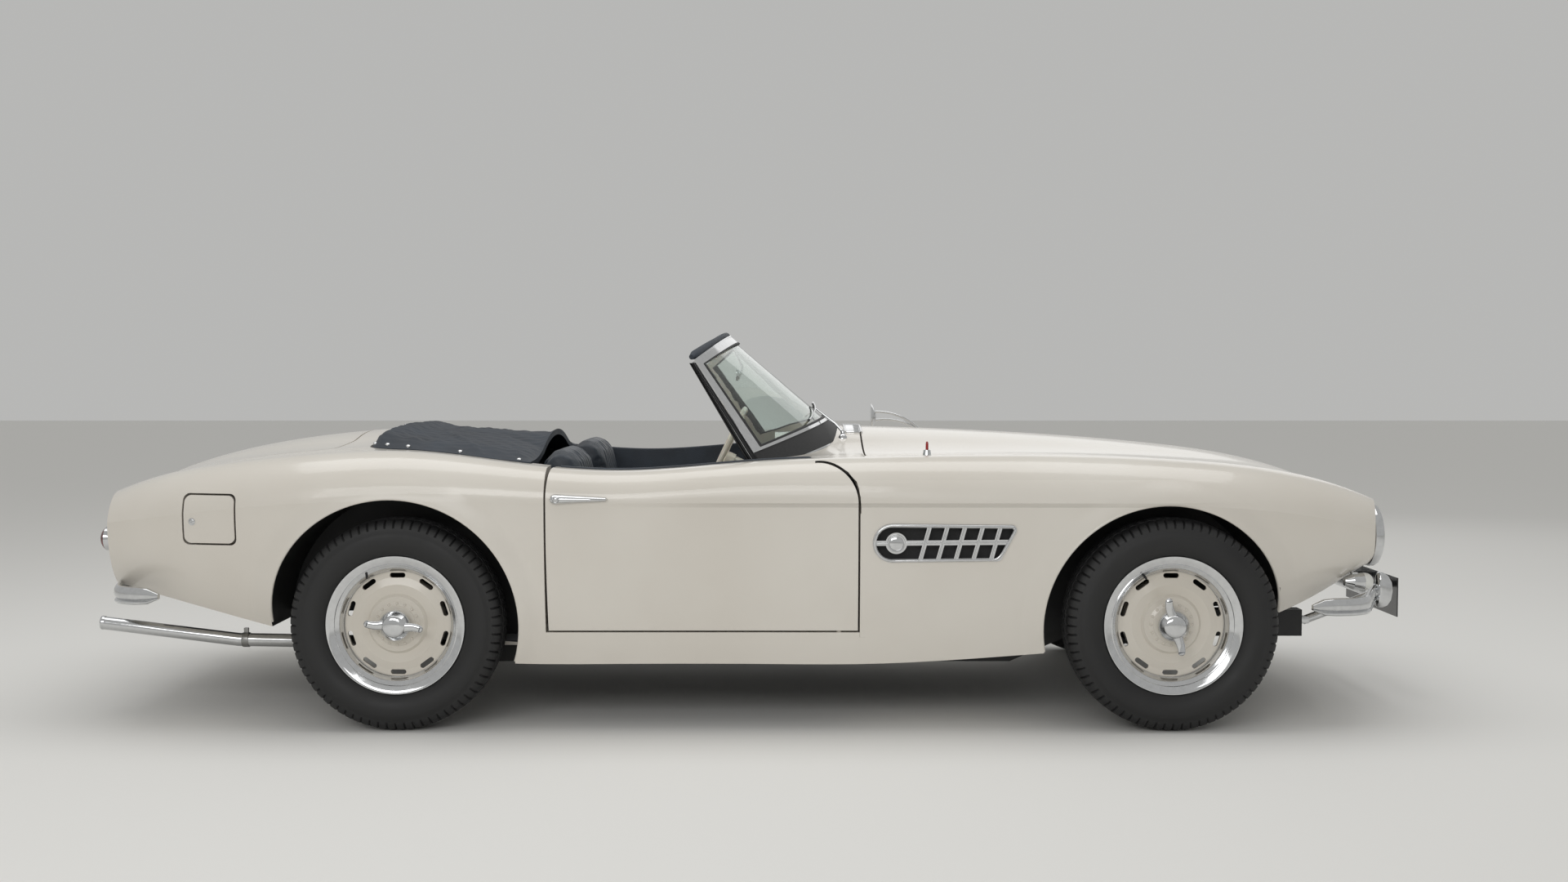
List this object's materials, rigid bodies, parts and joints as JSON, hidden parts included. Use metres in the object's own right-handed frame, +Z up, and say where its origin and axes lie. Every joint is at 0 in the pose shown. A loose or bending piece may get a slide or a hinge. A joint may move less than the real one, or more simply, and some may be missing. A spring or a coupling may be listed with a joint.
{
  "type": "roadster",
  "caption": "Open two-seat roadster with long bonnet, wrapped windscreen, folded hood under a cover, steering front wheels, opening doors, lids and fuel flap.",
  "frame": {"origin": "on the ground under the middle of the whole car", "axes": "+X towards the nose, +Y to the driver's left, +Z up"},
  "size_m": [4.4517, 1.648, 1.275],
  "materials": {
    "body_paint": "gloss",
    "wheel_paint": "gloss",
    "chassis_paint": "satin",
    "cast_alloy": "satin",
    "chrome": "polished",
    "glass": "clear",
    "leather": "satin",
    "tyre_rubber": "matt",
    "ivory_plastic": "gloss",
    "plate": "satin"
  },
  "bodies": {
    "chassis": {"aerial": "chrome", "bulkhead": "chassis_paint", "cowl": "body_paint", "dashboard": "ivory_plastic", "drive_line": "chassis_paint", "engine": "cast_alloy", "exhaust": "chrome", "floor_pan": "body_paint", "frame": "chassis_paint", "front_bumper": "chrome", "front_suspension": "chassis_paint", "front_wing_left": "body_paint", "front_wing_right": "body_paint", "grilles": "chrome", "headlamps": "chrome", "hood_cover": "leather", "indicators": "chrome", "levers": "chrome", "nose": "body_paint", "number_plate": "plate", "radiator": "chassis_paint", "rear_axle": "chassis_paint", "rear_bumper": "chrome", "rear_wing_left": "body_paint", "rear_wing_right": "body_paint", "seat_left": "leather", "seat_right": "leather", "side_vents": "chrome", "steering_column": "ivory_plastic", "tail": "body_paint", "tail_lamps": "chrome", "windscreen_frame": "chrome", "windscreen_glass": "glass", "wing_mirror": "chrome"},
    "bonnet": {"bonnet": "body_paint"},
    "boot_lid": {"boot_lid": "body_paint"},
    "fuel_flap": {"fuel_flap": "body_paint"},
    "door_left": {"door_left": "body_paint", "door_handle_left": "chrome"},
    "door_right": {"door_right": "body_paint", "door_handle_right": "chrome"},
    "steering_wheel": {"steering_wheel": "ivory_plastic"},
    "knuckle_left": {"knuckle_left": "chassis_paint"},
    "knuckle_right": {"knuckle_right": "chassis_paint"},
    "wheel_front_left": {"wheel_front_left": "wheel_paint", "tyre_front_left": "tyre_rubber"},
    "wheel_front_right": {"wheel_front_right": "wheel_paint", "tyre_front_right": "tyre_rubber"},
    "wheel_rear_left": {"wheel_rear_left": "wheel_paint", "tyre_rear_left": "tyre_rubber"},
    "wheel_rear_right": {"wheel_rear_right": "wheel_paint", "tyre_rear_right": "tyre_rubber"}
  },
  "joints": [
    {"name": "bonnet_hinge", "type": "hinge", "parent": "chassis", "child": "bonnet", "pos_m": [1.988, 0, 0.755], "axis": [0, 1, 0], "range_deg": [0, 55]},
    {"name": "boot_lid_hinge", "type": "hinge", "parent": "chassis", "child": "boot_lid", "pos_m": [-1.419, 0, 0.9355], "axis": [0, 1, 0], "range_deg": [0, 60]},
    {"name": "fuel_flap_hinge", "type": "hinge", "parent": "chassis", "child": "fuel_flap", "pos_m": [-1.6695, -0.78, 0.678], "axis": [0, 0, 1], "range_deg": [0, 95]},
    {"name": "door_left_hinge", "type": "hinge", "parent": "chassis", "child": "door_left", "pos_m": [0.254, 0.75, 0.34], "axis": [0, 0, -1], "range_deg": [0, 65]},
    {"name": "door_right_hinge", "type": "hinge", "parent": "chassis", "child": "door_right", "pos_m": [0.254, -0.75, 0.34], "axis": [0, 0, 1], "range_deg": [0, 65]},
    {"name": "steer_left", "type": "hinge", "parent": "chassis", "child": "knuckle_left", "pos_m": [1.318, 0.675, 0.341], "axis": [0, 0, 1], "range_deg": [-28, 28]},
    {"name": "steer_right", "type": "hinge", "parent": "chassis", "child": "knuckle_right", "pos_m": [1.318, -0.675, 0.341], "axis": [0, 0, 1], "range_deg": [-28, 28]},
    {"name": "steering_wheel_turn", "type": "hinge", "parent": "chassis", "child": "steering_wheel", "pos_m": [-0.161, 0.37, 0.816], "axis": [-0.9063, 0, 0.4226], "range_deg": [-450, 450]},
    {"name": "wheel_front_left_spin", "type": "hinge", "parent": "knuckle_left", "child": "wheel_front_left", "pos_m": [1.318, 0.7225, 0.341], "axis": [0, 1, 0], "continuous": true},
    {"name": "wheel_front_right_spin", "type": "hinge", "parent": "knuckle_right", "child": "wheel_front_right", "pos_m": [1.318, -0.7225, 0.341], "axis": [0, 1, 0], "continuous": true},
    {"name": "wheel_rear_left_spin", "type": "hinge", "parent": "chassis", "child": "wheel_rear_left", "pos_m": [-1.162, 0.7125, 0.341], "axis": [0, 1, 0], "continuous": true},
    {"name": "wheel_rear_right_spin", "type": "hinge", "parent": "chassis", "child": "wheel_rear_right", "pos_m": [-1.162, -0.7125, 0.341], "axis": [0, 1, 0], "continuous": true}
  ],
  "couplings": [
    {"joint": "steer_right", "follows": "steer_left", "ratio": 1},
    {"joint": "steering_wheel_turn", "follows": "steer_left", "ratio": 15}
  ]
}
